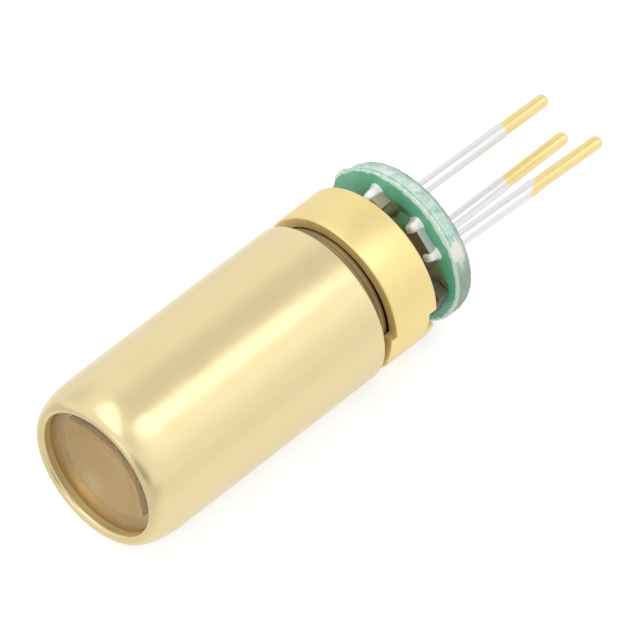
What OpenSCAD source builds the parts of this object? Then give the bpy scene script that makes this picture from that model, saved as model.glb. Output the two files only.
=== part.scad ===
// Small round laser module: a turned brass barrel with its lens at the mouth, a laser diode in a
// threaded holder behind it, and a round driver board soldered to the diode's three leads.
// The optical axis is the Y axis. The mouth faces -Y and the leads point to +Y.
// The origin lies on that axis, halfway along the straight part of the barrel.

/* [Barrel] */
// Outside diameter of the barrel
barrel_d = 6.5; // [6:0.1:9]
// Length of the barrel
barrel_len = 11.5; // [10:0.1:16]
// Length of the rounded nose
nose_len = 1.6; // [0.6:0.1:2.2]
// How far the nose draws in, on the radius
nose_drop = 0.5; // [0.3:0.05:0.8]
// Width of the lip between the nose and the mouth
lip_land = 0.2; // [0.06:0.01:0.3]
// Rounding of the lip's inner edge
lip_round = 0.16; // [0.03:0.01:0.2]
// Wall of the barrel round the holder
barrel_wall = 0.43; // [0.3:0.01:0.7]
// Depth of the threaded bore from the rear end
thread_depth = 4.9; // [3.5:0.1:6]
// Length of the light cone behind the lens
cone_len = 5.2; // [1:0.1:5.5]
// Diameter of the hole between the light cone and the threaded bore
port_d = 2.4; // [1.6:0.1:3.2]
// Chamfer on the barrel's rear edge
rear_chamfer = 0.1; // [0.04:0.01:0.25]

/* [Lens] */
// Depth of the lens behind the lip
lens_recess = 0.4; // [0.2:0.05:0.9]
// Thickness of the lens at its edge
lens_edge = 0.9; // [0.6:0.05:1.4]
// Height of the lens's curved rear face
lens_dome = 0.6; // [0.3:0.05:0.9]
// Width of the ledge that the lens rests on
lens_ledge = 0.3; // [0.15:0.05:0.5]
// Gap round the lens in its seat
lens_clear = 0.03; // [0.01:0.01:0.08]

/* [Diode holder] */
// Free room in front of the holder, for setting the focus
focus_room = 0.7; // [0.3:0.1:1.2]
// Wall of the holder round the diode's cap
holder_wall = 0.46; // [0.3:0.02:0.6]
// Diameter of the light hole through the holder's front
holder_port_d = 3.2; // [2:0.1:3.6]
// Gap between the holder and the threaded bore, and between the holder's neck and the collar
thread_clear = 0.03; // [0.01:0.01:0.08]

/* [Collar] */
// Outside diameter of the collar
collar_d = 6.44; // [6:0.02:8]
// Wall of the collar round the holder's neck
collar_wall = 0.42; // [0.25:0.01:0.7]
// Length of the collar
collar_len = 2.05; // [1.7:0.05:3]
// Open groove between the barrel and the collar
groove = 0.65; // [0.45:0.05:1.2]
// How far the holder reaches into the collar
collar_grip = 1.05; // [0.6:0.05:1.2]
// Length of the tabs on the collar's front edge
tab_len = 0.28; // [0.1:0.02:0.36]
// Depth of the driving notches in the collar's rear edge
notch_depth = 0.36; // [0.1:0.02:0.5]
// Angle that each tab takes up
tab_angle = 24; // [15:1:60]
// Direction of the first tab, from +X towards +Z
tab_turn = -10; // [-60:1:60]
// Angle that each notch takes up
notch_angle = 16; // [8:1:60]
// Direction of the first notch, from +X towards +Z
notch_turn = -8; // [-60:1:60]
// Chamfer on the collar's outer edges
collar_chamfer = 0.07; // [0.03:0.01:0.2]

/* [Laser diode] */
// Thickness of the stem
stem_t = 0.5; // [0.35:0.05:0.8]
// Gap round the stem inside the collar
stem_clear = 0.05; // [0.02:0.01:0.15]
// Height of the cap over the stem
cap_h = 2.2; // [1.9:0.1:3]
// Wall of the cap
cap_wall = 0.15; // [0.1:0.01:0.2]
// Gap round the cap inside the holder
cap_clear = 0.03; // [0.01:0.01:0.08]
// Diameter of the hole in the cap's top
cap_port_d = 1.4; // [0.8:0.1:1.8]
// Thickness of the window behind that hole
window_t = 0.2; // [0.1:0.05:0.3]
// Overlap of the window with the cap's top
window_lap = 0.3; // [0.15:0.05:0.35]
// Length of the pedestal that carries the laser chip
pedestal_len = 1.1; // [0.9:0.05:1.3]
// Width of the pedestal
pedestal_w = 1.2; // [0.7:0.05:1.3]
// Height of the pedestal
pedestal_h = 0.95; // [0.5:0.05:1.1]
// Thickness of the submount under the laser chip
submount_t = 0.15; // [0.1:0.01:0.25]
// Thickness of the laser chip
chip_t = 0.1; // [0.06:0.01:0.15]
// Length of the laser chip
chip_len = 0.3; // [0.2:0.02:0.5]
// Side of the square monitor chip
monitor_w = 0.6; // [0.4:0.05:0.7]
// Thickness of the monitor chip
monitor_t = 0.2; // [0.1:0.02:0.3]

/* [Leads] */
// Diameter of each bare lead
lead_d = 0.52; // [0.4:0.01:0.6]
// Thickness of the solder coat on the leads
tin_t = 0.01; // [0.005:0.005:0.03]
// Diameter of the circle that the leads stand on
lead_circle = 2.54; // [2:0.02:2.7]
// Turn of the three leads about the axis
lead_turn = -4; // [-30:1:30]
// Length of the leads behind the board
lead_len = 8.45; // [4:0.05:14]
// Height of the two insulated leads over the stem, inside the cap
post_h = 0.6; // [0.3:0.05:1]
// Wall of the glass seal round an insulated lead
seal_wall = 0.2; // [0.1:0.02:0.3]
// Gap in the glass seals and the solder joints
joint_clear = 0.01; // [0.005:0.005:0.03]
// Direction that the leads lean to, from +X towards +Z
lean_turn = -33; // [-90:1:90]
// Lean of the left, lower and right lead, in degrees
lean = [1.1, 0, 2]; // [0:0.1:3]
// Length of the bare tip of the left, lower and right lead
bare_len = [2.25, 3.25, 3.55]; // [1:0.05:4]

/* [Driver board] */
// Diameter of the board
board_d = 6.36; // [5:0.02:7]
// Thickness of the board
board_t = 0.75; // [0.5:0.05:1.2]
// How far the board's rear edge is worn in, on the radius
board_wear = 0.18; // [0.05:0.01:0.3]
// Length of that worn edge along the axis
wear_len = 0.35; // [0.1:0.05:0.45]
// Space between the collar and the board
board_gap = 1.22; // [0.9:0.02:2]
// Gap round a lead in its hole
hole_clear = 0.06; // [0.03:0.01:0.15]
// Width of the break-off nub on the board's edge, at its foot
nub_w = 1; // [0.6:0.05:1.6]
// Width of that nub at its torn tip
nub_tip = 0.4; // [0.2:0.05:0.6]
// Height of that nub
nub_h = 0.14; // [0.1:0.02:0.4]
// Thickness of that nub, behind the board's front face
nub_t = 0.3; // [0.2:0.05:0.45]
// Direction of that nub, from +X towards +Z
nub_turn = 149; // [90:1:200]
// Diameter of a solder joint on the board's rear face
solder_d = 1.2; // [0.9:0.05:1.3]
// Height of a solder joint
solder_h = 0.55; // [0.3:0.05:0.65]

/* [Parts on the board] */
// Length, width and height of the resistor
resistor = [1.6, 0.8, 0.35]; // [0.3:0.05:2]
// Distance of the resistor from the axis
resistor_at = 2.0; // [1.9:0.05:2.1]
// Direction of the resistor from the axis, from +X towards +Z
resistor_turn = 44; // [30:1:60]
// Length of each soldered end of the resistor
resistor_end = 0.38; // [0.2:0.02:0.5]
// Length, width and height of the capacitor
capacitor = [1.25, 0.7, 0.6]; // [0.4:0.05:1.4]
// Distance of the capacitor from the axis
capacitor_at = 2.05; // [1.95:0.05:2.2]
// Direction of the capacitor from the axis, from +X towards +Z
capacitor_turn = 104; // [95:1:130]
// Turn of the capacitor from square to that direction
capacitor_skew = 35; // [-45:1:45]
// Length of each soldered end of the capacitor
capacitor_end = 0.42; // [0.2:0.02:0.5]
// Length, width and height of the protection diode's body
protector = [1.2, 0.8, 0.65]; // [0.5:0.05:1.4]
// Distance of the protection diode from the axis
protector_at = 2.35; // [2.1:0.05:2.4]
// Direction of the protection diode from the axis, from +X towards +Z
protector_turn = -18; // [-45:1:-10]
// Draft of its moulded sides
protector_draft = 0.05; // [0.02:0.01:0.1]
// Length of each foot of the protection diode
foot_len = 0.1; // [0.05:0.05:0.35]
// Thickness of those feet
foot_t = 0.12; // [0.08:0.01:0.2]
// Length of the solder heels at the ends of the resistor and capacitor
heel_len = 0.1; // [0.04:0.01:0.15]
// Height of those heels
heel_h = 0.15; // [0.05:0.01:0.3]
// How far the solder on the ends stands over the body
solder_crown = 0.1; // [0.02:0.01:0.2]

/* [Hidden] */
$fn = 96;
// Short overlap that lets a cut run clear of a face
past = 1;
// Steps in a rounded profile
arc_steps = 12;

// Radii from the barrel's wall inwards
barrel_r = barrel_d / 2;
crest_r = barrel_r - nose_drop;
mouth_r = crest_r - lip_land;
lens_r = mouth_r - lens_clear;
cone_r = lens_r - lens_ledge;
bore_r = barrel_r - barrel_wall;
holder_r = bore_r - thread_clear;
// Radii from the collar's wall inwards
collar_r = collar_d / 2;
collar_bore_r = collar_r - collar_wall;
neck_r = collar_bore_r - thread_clear;
stem_r = collar_bore_r - stem_clear;
// The diode's cap fits the narrower end of the holder
cap_bore_r = min(holder_r, neck_r) - holder_wall;
cap_r = cap_bore_r - cap_clear;
lead_r = lead_d / 2;
tinned_r = lead_r + tin_t;
seal_r = tinned_r + joint_clear + seal_wall;
window_r = cap_port_d / 2 + window_lap;

// Stations along the axis, measured back from the front of the lip
lens_seat = lens_recess + lens_edge;
bore_floor = barrel_len - thread_depth;
holder_front = bore_floor + focus_room;
collar_front = barrel_len + groove;
collar_rear = collar_front + collar_len;
stem_front = collar_front + collar_grip;
stem_rear = stem_front + stem_t;
cap_top = stem_front - cap_h;
cap_seat = cap_top - cap_clear;
board_front = collar_rear + board_gap;
board_rear = board_front + board_t;
lead_tip = board_rear + lead_len;
// The straight seat of the barrel, and its middle, which is the origin
seat_end = barrel_len - rear_chamfer;
seat_mid = (nose_len + seat_end) / 2;

// The three leads: at the left, below and at the right of the axis
lead_turns = [180 + lead_turn, -90 + lead_turn, lead_turn];
LEFT = 0;
LOWER = 1;
RIGHT = 2;

// Which way the length of each part on the board runs
resistor_run = resistor_turn - 90;
capacitor_run = capacitor_turn - 90 - capacitor_skew;
protector_run = protector_turn + 90;

// Places a shape that was drawn upright, at a station on the optical axis
module on_axis(station = 0) {
    translate([0, station - seat_mid, 0])
        rotate([-90, 0, 0])
            children();
}

// Turns a shape about the optical axis, from +X towards +Z
module turned(angle) {
    rotate([0, -angle, 0])
        children();
}

// Places a shape on the board's front face, with its length along X and its height along -Y
module on_board(distance, angle, run) {
    translate([distance * cos(angle), board_front - seat_mid, distance * sin(angle)])
        turned(run)
            children();
}

// Places a shape at one of the three leads
module at_lead(which) {
    turned(lead_turns[which])
        translate([lead_circle / 2, 0, 0])
            children();
}

module disc(r, from, to) {
    on_axis(from)
        cylinder(r = r, h = to - from);
}

// A plain block with its near face on the board, standing off towards -Y
module block(size) {
    translate([-size[0] / 2, -size[2], -size[1] / 2])
        cube([size[0], size[2], size[1]]);
}

// A quarter ellipse for a rounded edge, from the face to the side
function quarter(across, along, steps = arc_steps) =
    [for (i = [0 : steps]) [across * sin(90 * i / steps), along * (1 - cos(90 * i / steps))]];

// The turned barrel: rounded nose, lens seat, light cone and threaded rear bore
module barrel() {
    nose = [for (point = quarter(nose_drop, nose_len)) [crest_r + point[0], point[1]]];
    rear = [[barrel_r, seat_end], [barrel_r - rear_chamfer, barrel_len], [0, barrel_len], [0, 0]];
    lip = min(lip_round, lip_land);
    lip_edge = [for (point = quarter(lip, lip)) [mouth_r + lip - point[0], point[1]]];
    color("goldenrod")
        difference() {
            on_axis()
                rotate_extrude()
                    polygon(concat(nose, rear));
            on_axis()
                rotate_extrude()
                    polygon(concat([[0, -past], [mouth_r + lip, -past]], lip_edge, [[0, lip]]));
            disc(mouth_r, 0, lens_seat);
            on_axis(lens_seat)
                cylinder(r1 = cone_r, r2 = port_d / 2, h = cone_len);
            disc(port_d / 2, lens_seat, bore_floor + past);
            disc(bore_r, bore_floor, barrel_len + past);
        }
}

// The moulded lens: flat in front, domed behind, its rim resting on the ledge
module lens() {
    dome_base = cone_r - lens_clear;
    dome_r = (dome_base * dome_base + lens_dome * lens_dome) / (2 * lens_dome);
    color("lightblue", 0.5)
        union() {
            disc(lens_r, lens_recess, lens_seat);
            intersection() {
                on_axis(lens_seat + lens_dome - dome_r)
                    sphere(r = dome_r);
                disc(dome_base, lens_seat - lens_edge / 2, lens_seat + lens_dome + past);
            }
        }
}

// The threaded sleeve that holds the diode and sets the focus, with its neck behind the barrel
module diode_holder() {
    port_r = holder_port_d / 2;
    front = [[port_r, holder_front], [holder_r, holder_front], [holder_r, barrel_len]];
    neck = [[neck_r, barrel_len], [neck_r, stem_front], [cap_bore_r, stem_front]];
    color("darkgray")
        on_axis()
            rotate_extrude()
                polygon(concat(front, neck, [[cap_bore_r, cap_seat], [port_r, cap_seat]]));
}

// The brass ring on the holder's rear end, with tabs in front and driving notches behind
module collar() {
    edge = collar_chamfer;
    front = collar_front - tab_len;
    outline = [[collar_bore_r, 0], [collar_r - edge, 0], [collar_r, edge],
               [collar_r, collar_rear - front - edge], [collar_r - edge, collar_rear - front],
               [collar_bore_r, collar_rear - front]];
    // What is cut away in front between the tabs, with the chamfer of the front edge
    clearing = [[collar_bore_r - past, -past], [collar_r + past, -past],
                [collar_r + past, tab_len + edge + past], [collar_r - edge, tab_len],
                [collar_bore_r - past, tab_len]];
    color("gold")
        difference() {
            on_axis(front)
                rotate_extrude()
                    polygon(outline);
            for (half = [0, 180]) {
                turned(tab_turn + half - tab_angle / 2)
                    on_axis(front)
                        rotate_extrude(angle = 180 - tab_angle)
                            polygon(clearing);
                turned(notch_turn + half + notch_angle / 2)
                    on_axis(collar_rear - notch_depth)
                        rotate_extrude(angle = notch_angle)
                            translate([collar_bore_r - past, 0])
                                square([collar_r - collar_bore_r + 2 * past, notch_depth + past]);
            }
        }
}

// The diode's base: a disc with two sealed holes and the pedestal for the chip
module diode_stem() {
    color("khaki")
        difference() {
            union() {
                disc(stem_r, stem_front, stem_rear);
                translate([-pedestal_w / 2, stem_front - pedestal_len - seat_mid, chip_t / 2 + submount_t])
                    cube([pedestal_w, pedestal_len + stem_t / 2, pedestal_h]);
            }
            for (which = [LEFT, RIGHT])
                at_lead(which)
                    disc(seal_r + joint_clear, stem_front - past, stem_rear + past);
        }
}

module diode_cap() {
    color("silver")
        difference() {
            disc(cap_r, cap_top, stem_front);
            disc(cap_r - cap_wall, cap_top + cap_wall, stem_front + past);
            disc(cap_port_d / 2, cap_top - past, stem_front);
        }
}

module diode_window() {
    color("azure", 0.5)
        disc(window_r, cap_top + cap_wall, cap_top + cap_wall + window_t);
}

// The slip of ceramic between the pedestal and the laser chip
module submount() {
    color("lightgray")
        translate([-chip_len, stem_front - pedestal_len - seat_mid, chip_t / 2])
            cube([2 * chip_len, pedestal_len / 2, submount_t]);
}

module laser_chip() {
    color("dimgray")
        translate([-chip_len / 2, stem_front - pedestal_len - seat_mid, -chip_t / 2])
            cube([chip_len, chip_len, chip_t]);
}

// The light sensor on the stem that watches the laser chip's rear light
module monitor_chip() {
    color("slategray")
        translate([-monitor_w / 2, stem_front - monitor_t - seat_mid, -chip_t - monitor_w])
            cube([monitor_w, monitor_t, monitor_w]);
}

module lead_seals() {
    color("seagreen")
        for (which = [LEFT, RIGHT])
            difference() {
                at_lead(which)
                    disc(seal_r, stem_front, stem_rear);
                lead_hole(which, joint_clear, stem_front, stem_rear);
            }
}

// Runs along one lead, which leans a little from where it leaves the stem
module along_lead(which) {
    pivot = stem_rear - seat_mid;
    at_lead(which)
        translate([0, pivot, 0])
            turned(lean_turn - lead_turns[which])
                rotate([0, 0, -lean[which]])
                    translate([0, -pivot, 0])
                        children();
}

// The room that a lead takes up in what surrounds it, with a gap all round
module lead_hole(which, gap, from, to) {
    along_lead(which)
        disc(tinned_r + gap, from - past, to + past);
}

// One lead from its inner end to its rounded tip: solder-coated as far as its bare tip
module lead(which, from) {
    bare = lead_tip - bare_len[which] - from;
    straight = lead_tip - lead_r - from;
    shank = [[0, 0], [tinned_r, 0], [tinned_r, bare], [lead_r, bare]];
    round_end = [for (point = quarter(lead_r, lead_r)) [lead_r - point[1], straight + point[0]]];
    color("gold")
        along_lead(which)
            on_axis(from)
                rotate_extrude()
                    polygon(concat(shank, round_end));
}

module left_lead() {
    lead(LEFT, stem_front - post_h);
}

module lower_lead() {
    lead(LOWER, stem_rear);
}

module right_lead() {
    lead(RIGHT, stem_front - post_h);
}

// The round board with its three holes, its worn rear edge and the torn stub of its break-off tab
module driver_board() {
    rim_r = board_d / 2;
    worn = [for (point = quarter(wear_len, board_wear)) [rim_r - point[1], board_t - wear_len + point[0]]];
    foot = sqrt(rim_r * rim_r - nub_w * nub_w / 4);
    color("seagreen")
        difference() {
            on_axis(board_front) {
                rotate_extrude()
                    polygon(concat([[0, 0], [rim_r, 0]], worn, [[0, board_t]]));
                rotate([0, 0, -nub_turn])
                    linear_extrude(nub_t)
                        polygon([[0, -nub_w / 2], [foot, -nub_w / 2], [rim_r + nub_h, -nub_tip / 2],
                                 [rim_r + nub_h, nub_tip / 2], [foot, nub_w / 2], [0, nub_w / 2]]);
            }
            for (which = [LEFT, LOWER, RIGHT])
                lead_hole(which, hole_clear, board_front, board_rear);
        }
}

// The hollow-sided solder cones that join the leads to the board's rear face
module solder_joints() {
    foot_r = solder_d / 2;
    rise = quarter(foot_r - tinned_r - hole_clear, solder_h);
    base = [[0, solder_h], [0, -board_t / 2], [foot_r, -board_t / 2]];
    side = [for (point = rise) [foot_r - point[0], point[1]]];
    color("silver")
        for (which = [LEFT, LOWER, RIGHT])
            difference() {
                along_lead(which)
                    on_axis(board_rear)
                        rotate_extrude()
                            polygon(concat(base, side));
                lead_hole(which, joint_clear, board_front, board_rear + solder_h);
                disc(board_d / 2, board_front, board_rear);
            }
}

// The two soldered ends of a chip part: each a rounded crown of solder that runs out in a heel
module chip_ends(size, end) {
    tip = size[0] / 2;
    crest = tip - end / 2;
    top = size[2] + solder_crown;
    inner = [for (point = quarter(end / 2, solder_crown)) [crest - point[0], point[1] - top]];
    outer = [for (point = quarter(end / 2, top - heel_h)) [crest + point[0], point[1] - top]];
    foot = [[tip + heel_len, 0], [tip - end, 0]];
    for (side = [0, 1])
        mirror([side, 0, 0])
            linear_extrude(size[1], center = true)
                polygon(concat([for (i = [1 : arc_steps]) outer[i]], foot,
                               [for (i = [arc_steps : -1 : 0]) inner[i]]));
}

module resistor_body() {
    color("darkslategray")
        on_board(resistor_at, resistor_turn, resistor_run)
            block([resistor[0] - 2 * resistor_end, resistor[1], resistor[2]]);
}

module resistor_ends() {
    color("silver")
        on_board(resistor_at, resistor_turn, resistor_run)
            chip_ends(resistor, resistor_end);
}

module capacitor_body() {
    color("tan")
        on_board(capacitor_at, capacitor_turn, capacitor_run)
            block([capacitor[0] - 2 * capacitor_end, capacitor[1], capacitor[2]]);
}

module capacitor_ends() {
    color("silver")
        on_board(capacitor_at, capacitor_turn, capacitor_run)
            chip_ends(capacitor, capacitor_end);
}

// The moulded body stands on its two flat feet, its ends drafted from the parting line
module protector_body() {
    tip = protector[0] / 2;
    parting = (protector[2] + foot_t) / 2;
    side = [[tip - protector_draft, -foot_t], [tip, -parting], [tip - protector_draft, -protector[2]]];
    color("black")
        on_board(protector_at, protector_turn, protector_run)
            linear_extrude(protector[1], center = true)
                polygon(concat(side, [for (i = [2 : -1 : 0]) [-side[i][0], side[i][1]]]));
}

module protector_feet() {
    foot = [foot_len * 2, protector[1] / 2, foot_t];
    color("silver")
        on_board(protector_at, protector_turn, protector_run)
            for (side = [-1, 1])
                translate([side * protector[0] / 2, 0, 0])
                    block(foot);
}

barrel();
lens();
diode_holder();
collar();
diode_stem();
diode_cap();
diode_window();
submount();
laser_chip();
monitor_chip();
lead_seals();
left_lead();
lower_lead();
right_lead();
driver_board();
solder_joints();
resistor_body();
resistor_ends();
capacitor_body();
capacitor_ends();
protector_body();
protector_feet();
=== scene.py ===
from math import copysign, cos, exp, pi, radians, sin

import bmesh
import bpy
from mathutils import Matrix, Vector, noise


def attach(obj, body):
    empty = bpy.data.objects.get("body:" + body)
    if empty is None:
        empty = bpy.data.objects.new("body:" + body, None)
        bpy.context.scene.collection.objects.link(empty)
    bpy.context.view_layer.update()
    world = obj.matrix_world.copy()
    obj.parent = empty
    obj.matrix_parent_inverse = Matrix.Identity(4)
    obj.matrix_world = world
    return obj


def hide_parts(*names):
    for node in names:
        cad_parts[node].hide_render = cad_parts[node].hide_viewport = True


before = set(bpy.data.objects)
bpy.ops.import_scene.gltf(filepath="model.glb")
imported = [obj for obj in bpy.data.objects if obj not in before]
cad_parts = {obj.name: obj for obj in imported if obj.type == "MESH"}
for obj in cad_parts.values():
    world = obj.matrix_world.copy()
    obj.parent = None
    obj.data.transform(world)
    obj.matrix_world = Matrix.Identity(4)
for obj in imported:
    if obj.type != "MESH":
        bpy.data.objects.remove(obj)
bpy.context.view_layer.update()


# Barrel: the tube that carries everything, turned from brass bar and polished. Its nose is rolled over to a
# thin lip, the lens drops in from the front and the diode holder screws in from behind. Sizes are in
# millimetres, and stations run back along the optical axis from the front of the lip.
MM = 0.001
BARREL_LEN = 11.5
BARREL_R = 3.25
NOSE_DROP = 0.5
NOSE_LEN = 1.6
CREST_R = BARREL_R - NOSE_DROP
LIP_LAND = 0.2
LIP_DEPTH = 0.18
MOUTH_R = CREST_R - LIP_LAND
LENS_SEAT = 1.3
CONE_R = 2.22
PORT_R = 1.2
PORT_FRONT = 6.5
BORE_FLOOR = 6.6
BORE_R = 2.82
BORE_BREAK = 0.04
REAR_ROUND = 0.08
# The station of the part's origin.
AXIS_ZERO = 6.5
# Two rings of points that keep the shading of the rounded ends off the middle of the side.
SIDE_RINGS = (4, 8)
# Steps of the lip's round, counted from the wall of the mouth, that share the wall's finish.
SATIN_STEPS = 3


def quarter(steps):
    """The sine and cosine at even steps through a quarter turn, for drawing rounded edges."""
    return [(sin(pi / 2 * i / steps), cos(pi / 2 * i / steps)) for i in range(steps + 1)]


def skin(bm, here, there, base=0, finish=None):
    """Lays a band of faces between two rings of points, in the base material or the one finish names."""
    count = len(here)
    for i in range(count):
        k = (i + 1) % count
        face = bm.faces.new((here[i], here[k], there[k], there[i]))
        face.material_index = (finish or {}).get(i, base)


def weld(bm):
    """Joins points that fall together, as they do on an axis, and drops what is left without area."""
    bmesh.ops.remove_doubles(bm, verts=bm.verts, dist=1e-5)
    bmesh.ops.dissolve_degenerate(bm, edges=bm.edges, dist=1e-6)


def spun(outline, turns=256, place=None, shape=None, finish=None):
    """Spins a closed outline of (radius, station) points round the optical axis, or round the axis of place.

    Shape may change a point's radius with its angle, and finish names the material of a stretch."""
    bm = bmesh.new()
    rings = []
    for j in range(turns):
        angle = 2 * pi * j / turns
        ring = []
        for radius, station in outline:
            reach = shape(radius, station, angle) if shape else radius
            ring.append(bm.verts.new((reach * cos(angle), station, reach * sin(angle))))
        rings.append(ring)
    for here, there in zip(rings, rings[1:] + rings[:1]):
        skin(bm, here, there, finish=finish)
    weld(bm)
    bm.transform(place or Matrix.Translation((0, -AXIS_ZERO, 0)))
    return bm


def piece(name, bm, *finishes, smooth=35):
    """Makes a piece of the part from a mesh in millimetres, smooth but for edges sharper than an angle."""
    bmesh.ops.recalc_face_normals(bm, faces=bm.faces)
    mesh = bpy.data.meshes.new(name)
    bm.to_mesh(mesh)
    bm.free()
    mesh.transform(Matrix.Scale(MM, 4))
    mesh.shade_smooth()
    mesh.set_sharp_from_angle(angle=radians(smooth))
    for finish in finishes:
        mesh.materials.append(finish)
    made = bpy.data.objects.new(name, mesh)
    bpy.context.scene.collection.objects.link(made)
    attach(made, "root")
    return made


def linear(code):
    """An sRGB hex colour as the linear colour that a shader takes."""
    parts = [int(code[i:i + 2], 16) / 255 for i in (1, 3, 5)]
    return tuple(c / 12.92 if c <= 0.04045 else ((c + 0.055) / 1.055) ** 2.4 for c in parts) + (1,)


def add(tree, kind, sockets=None, **options):
    """Adds one node: options are its settings, sockets its input values or the outputs linked to them."""
    made = tree.nodes.new(kind)
    for name, value in options.items():
        setattr(made, name, value)
    for name, value in (sockets or {}).items():
        if isinstance(value, bpy.types.NodeSocket):
            tree.links.new(value, made.inputs[name])
        else:
            made.inputs[name].default_value = value
    return made


def material(name, **sockets):
    """A new material with one principled shader, and the tree and shader to build it on."""
    made = bpy.data.materials.new(name)
    made.use_nodes = True
    shader = made.node_tree.nodes["Principled BSDF"]
    for socket, value in sockets.items():
        shader.inputs[socket.replace("_", " ")].default_value = value
    return made, made.node_tree, shader


def mottled(name, patch, dark, light, detail=3, rough=0.5, **sockets):
    """A material whose colour drifts from dark to light over patches of a size, and the drift itself."""
    made, tree, shader = material(name, **sockets)
    spot = add(tree, "ShaderNodeTexCoord").outputs["Object"]
    drift = add(tree, "ShaderNodeTexNoise", {"Vector": spot, "Scale": 1 / (patch * MM), "Detail": detail,
                                             "Roughness": rough}).outputs["Fac"]
    tone = add(tree, "ShaderNodeMix", {"Factor": drift, 6: linear(dark), 7: linear(light)}, data_type="RGBA")
    tree.links.new(tone.outputs[2], shader.inputs["Base Color"])
    return made, tree, shader, drift


# Turned brass, polished: a pale yellow mirror that is slightly blurred, with faint rings left by the tool
# and patches where the polish is a little duller. The rings are 0.06 mm apart, coarser than real ones.
brass, tree, shader, drift = mottled("brass turned and polished", 1.4, "#E9D5A0", "#EEDDAE", rough=0.6,
                                     Metallic=1)
spot = add(tree, "ShaderNodeTexCoord").outputs["Object"]
along = add(tree, "ShaderNodeSeparateXYZ", {0: spot}).outputs["Y"]
rings = add(tree, "ShaderNodeTexNoise", {"W": along, "Scale": 1 / (0.06 * MM), "Detail": 2},
            noise_dimensions="1D")
dull = add(tree, "ShaderNodeMapRange", {"Value": drift, "From Min": 0.35, "From Max": 0.65,
                                        "To Min": 0.2, "To Max": 0.26})
ridge = add(tree, "ShaderNodeBump", {"Height": rings.outputs["Fac"], "Strength": 0.12,
                                     "Distance": 0.004 * MM})
tree.links.new(dull.outputs["Result"], shader.inputs["Roughness"])
tree.links.new(ridge.outputs["Normal"], shader.inputs["Normal"])

# Bored brass: the same metal at the mouth, left satin from the tool, a soft pale gold.
bored, tree, shader, drift = mottled("brass bored satin", 0.7, "#E5C889", "#EED9A5", rough=0.6, Metallic=0.7)
dull = add(tree, "ShaderNodeMapRange", {"Value": drift, "To Min": 0.3, "To Max": 0.45})
tree.links.new(dull.outputs["Result"], shader.inputs["Roughness"])

# Oxidised brass: the same metal deeper inside, under a dull film, so it glows a soft tan where light falls
# in and mirrors almost nothing.
oxide, tree, shader, drift = mottled("brass oxidised", 0.7, "#FBE096", "#FFEFB4", rough=0.6, Metallic=0.2)
dull = add(tree, "ShaderNodeMapRange", {"Value": drift, "To Min": 0.5, "To Max": 0.7})
tree.links.new(dull.outputs["Result"], shader.inputs["Roughness"])

nose = [(CREST_R + NOSE_DROP * s, NOSE_LEN * (1 - c)) for s, c in quarter(40)]
side = [(BARREL_R, station) for station in SIDE_RINGS]
side += [(BARREL_R - REAR_ROUND * (1 - c), BARREL_LEN - REAR_ROUND * (1 - s)) for s, c in quarter(10)]
bore = [(BORE_R + BORE_BREAK, BARREL_LEN), (BORE_R, BARREL_LEN - BORE_BREAK), (BORE_R, BORE_FLOOR)]
bore += [(PORT_R, BORE_FLOOR), (PORT_R, PORT_FRONT), (CONE_R, LENS_SEAT), (MOUTH_R, LENS_SEAT)]
lip = [(MOUTH_R + LIP_LAND * (1 - c), LIP_DEPTH * (1 - s)) for s, c in quarter(16)]
wall = len(nose + side + bore) - 1
inside = dict.fromkeys(range(len(nose + side) - 1, wall), 2)
inside.update(dict.fromkeys(range(wall, wall + 1 + SATIN_STEPS), 1))
barrel_tube = piece("barrel_tube", spun(nose + side + bore + lip, finish=inside), brass, bored, oxide)
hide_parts("barrel")


# Lens: a moulded disc of clear acrylic, flat in front and domed behind. It drops in at the mouth and its rim
# rests on a ledge, so the brass of the light cone shows through it. The rim lies close to the wall of the
# mouth and is drawn in the wall's brass.
LENS_PLAY = 0.03
LENS_R = MOUTH_R - LENS_PLAY
LENS_FRONT = 0.4
LENS_BREAK = 0.02
LENS_LIFT = 0.02
DOME_BASE = CONE_R - LENS_PLAY
DOME = 0.6
DOME_R = (DOME_BASE ** 2 + DOME ** 2) / (2 * DOME)
DOME_STEPS = 24

# Clear acrylic, moulded: almost colourless and mirror smooth, so that the floor in front of the mouth lies
# over it as a faint veil.
acrylic, *_ = material("acrylic moulded clear", Base_Color=linear("#FFFAF2"), Roughness=0.02, IOR=1.49,
                       Transmission_Weight=1, Specular_Tint=linear("#C8C8C8"))

outline = [(0, LENS_FRONT), (LENS_R - LENS_BREAK, LENS_FRONT), (LENS_R, LENS_FRONT + LENS_BREAK)]
outline += [(LENS_R, LENS_SEAT - LENS_LIFT), (DOME_BASE, LENS_SEAT - LENS_LIFT)]
rim = dict.fromkeys(range(1, len(outline) - 1), 1)
for i in range(DOME_STEPS + 1):
    radius = DOME_BASE * (1 - i / DOME_STEPS)
    outline.append((radius, LENS_SEAT + DOME - DOME_R + (DOME_R ** 2 - radius ** 2) ** 0.5))
lens_disc = piece("lens_disc", spun(outline, finish=rim), acrylic, bored)
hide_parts("lens")


# Diode holder: a sleeve of grey alloy with a fine thread on the outside, which screws into the barrel to set
# the focus. Only its neck shows, in the groove between the barrel and the collar.
HOLDER_FRONT = 7.3
HOLDER_REAR = 13.2
HOLDER_R = 2.79
HOLDER_PORT_R = 1.6
STEM_BORE_R = 2.31
STEM_BORE_FLOOR = 10.97
NECK_R = 2.77
THREAD_PITCH = 0.45
THREAD_DEPTH = 0.1
# Where one crest of the thread lies, as a station and an angle in radians, and the share of the pitch that
# it is flat to each side.
CREST_STATION = 12.05
CREST_ANGLE = 1
CREST_FLAT = 0.08
THREAD_RINGS = 60
THREAD_STEP = 0.015


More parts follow.
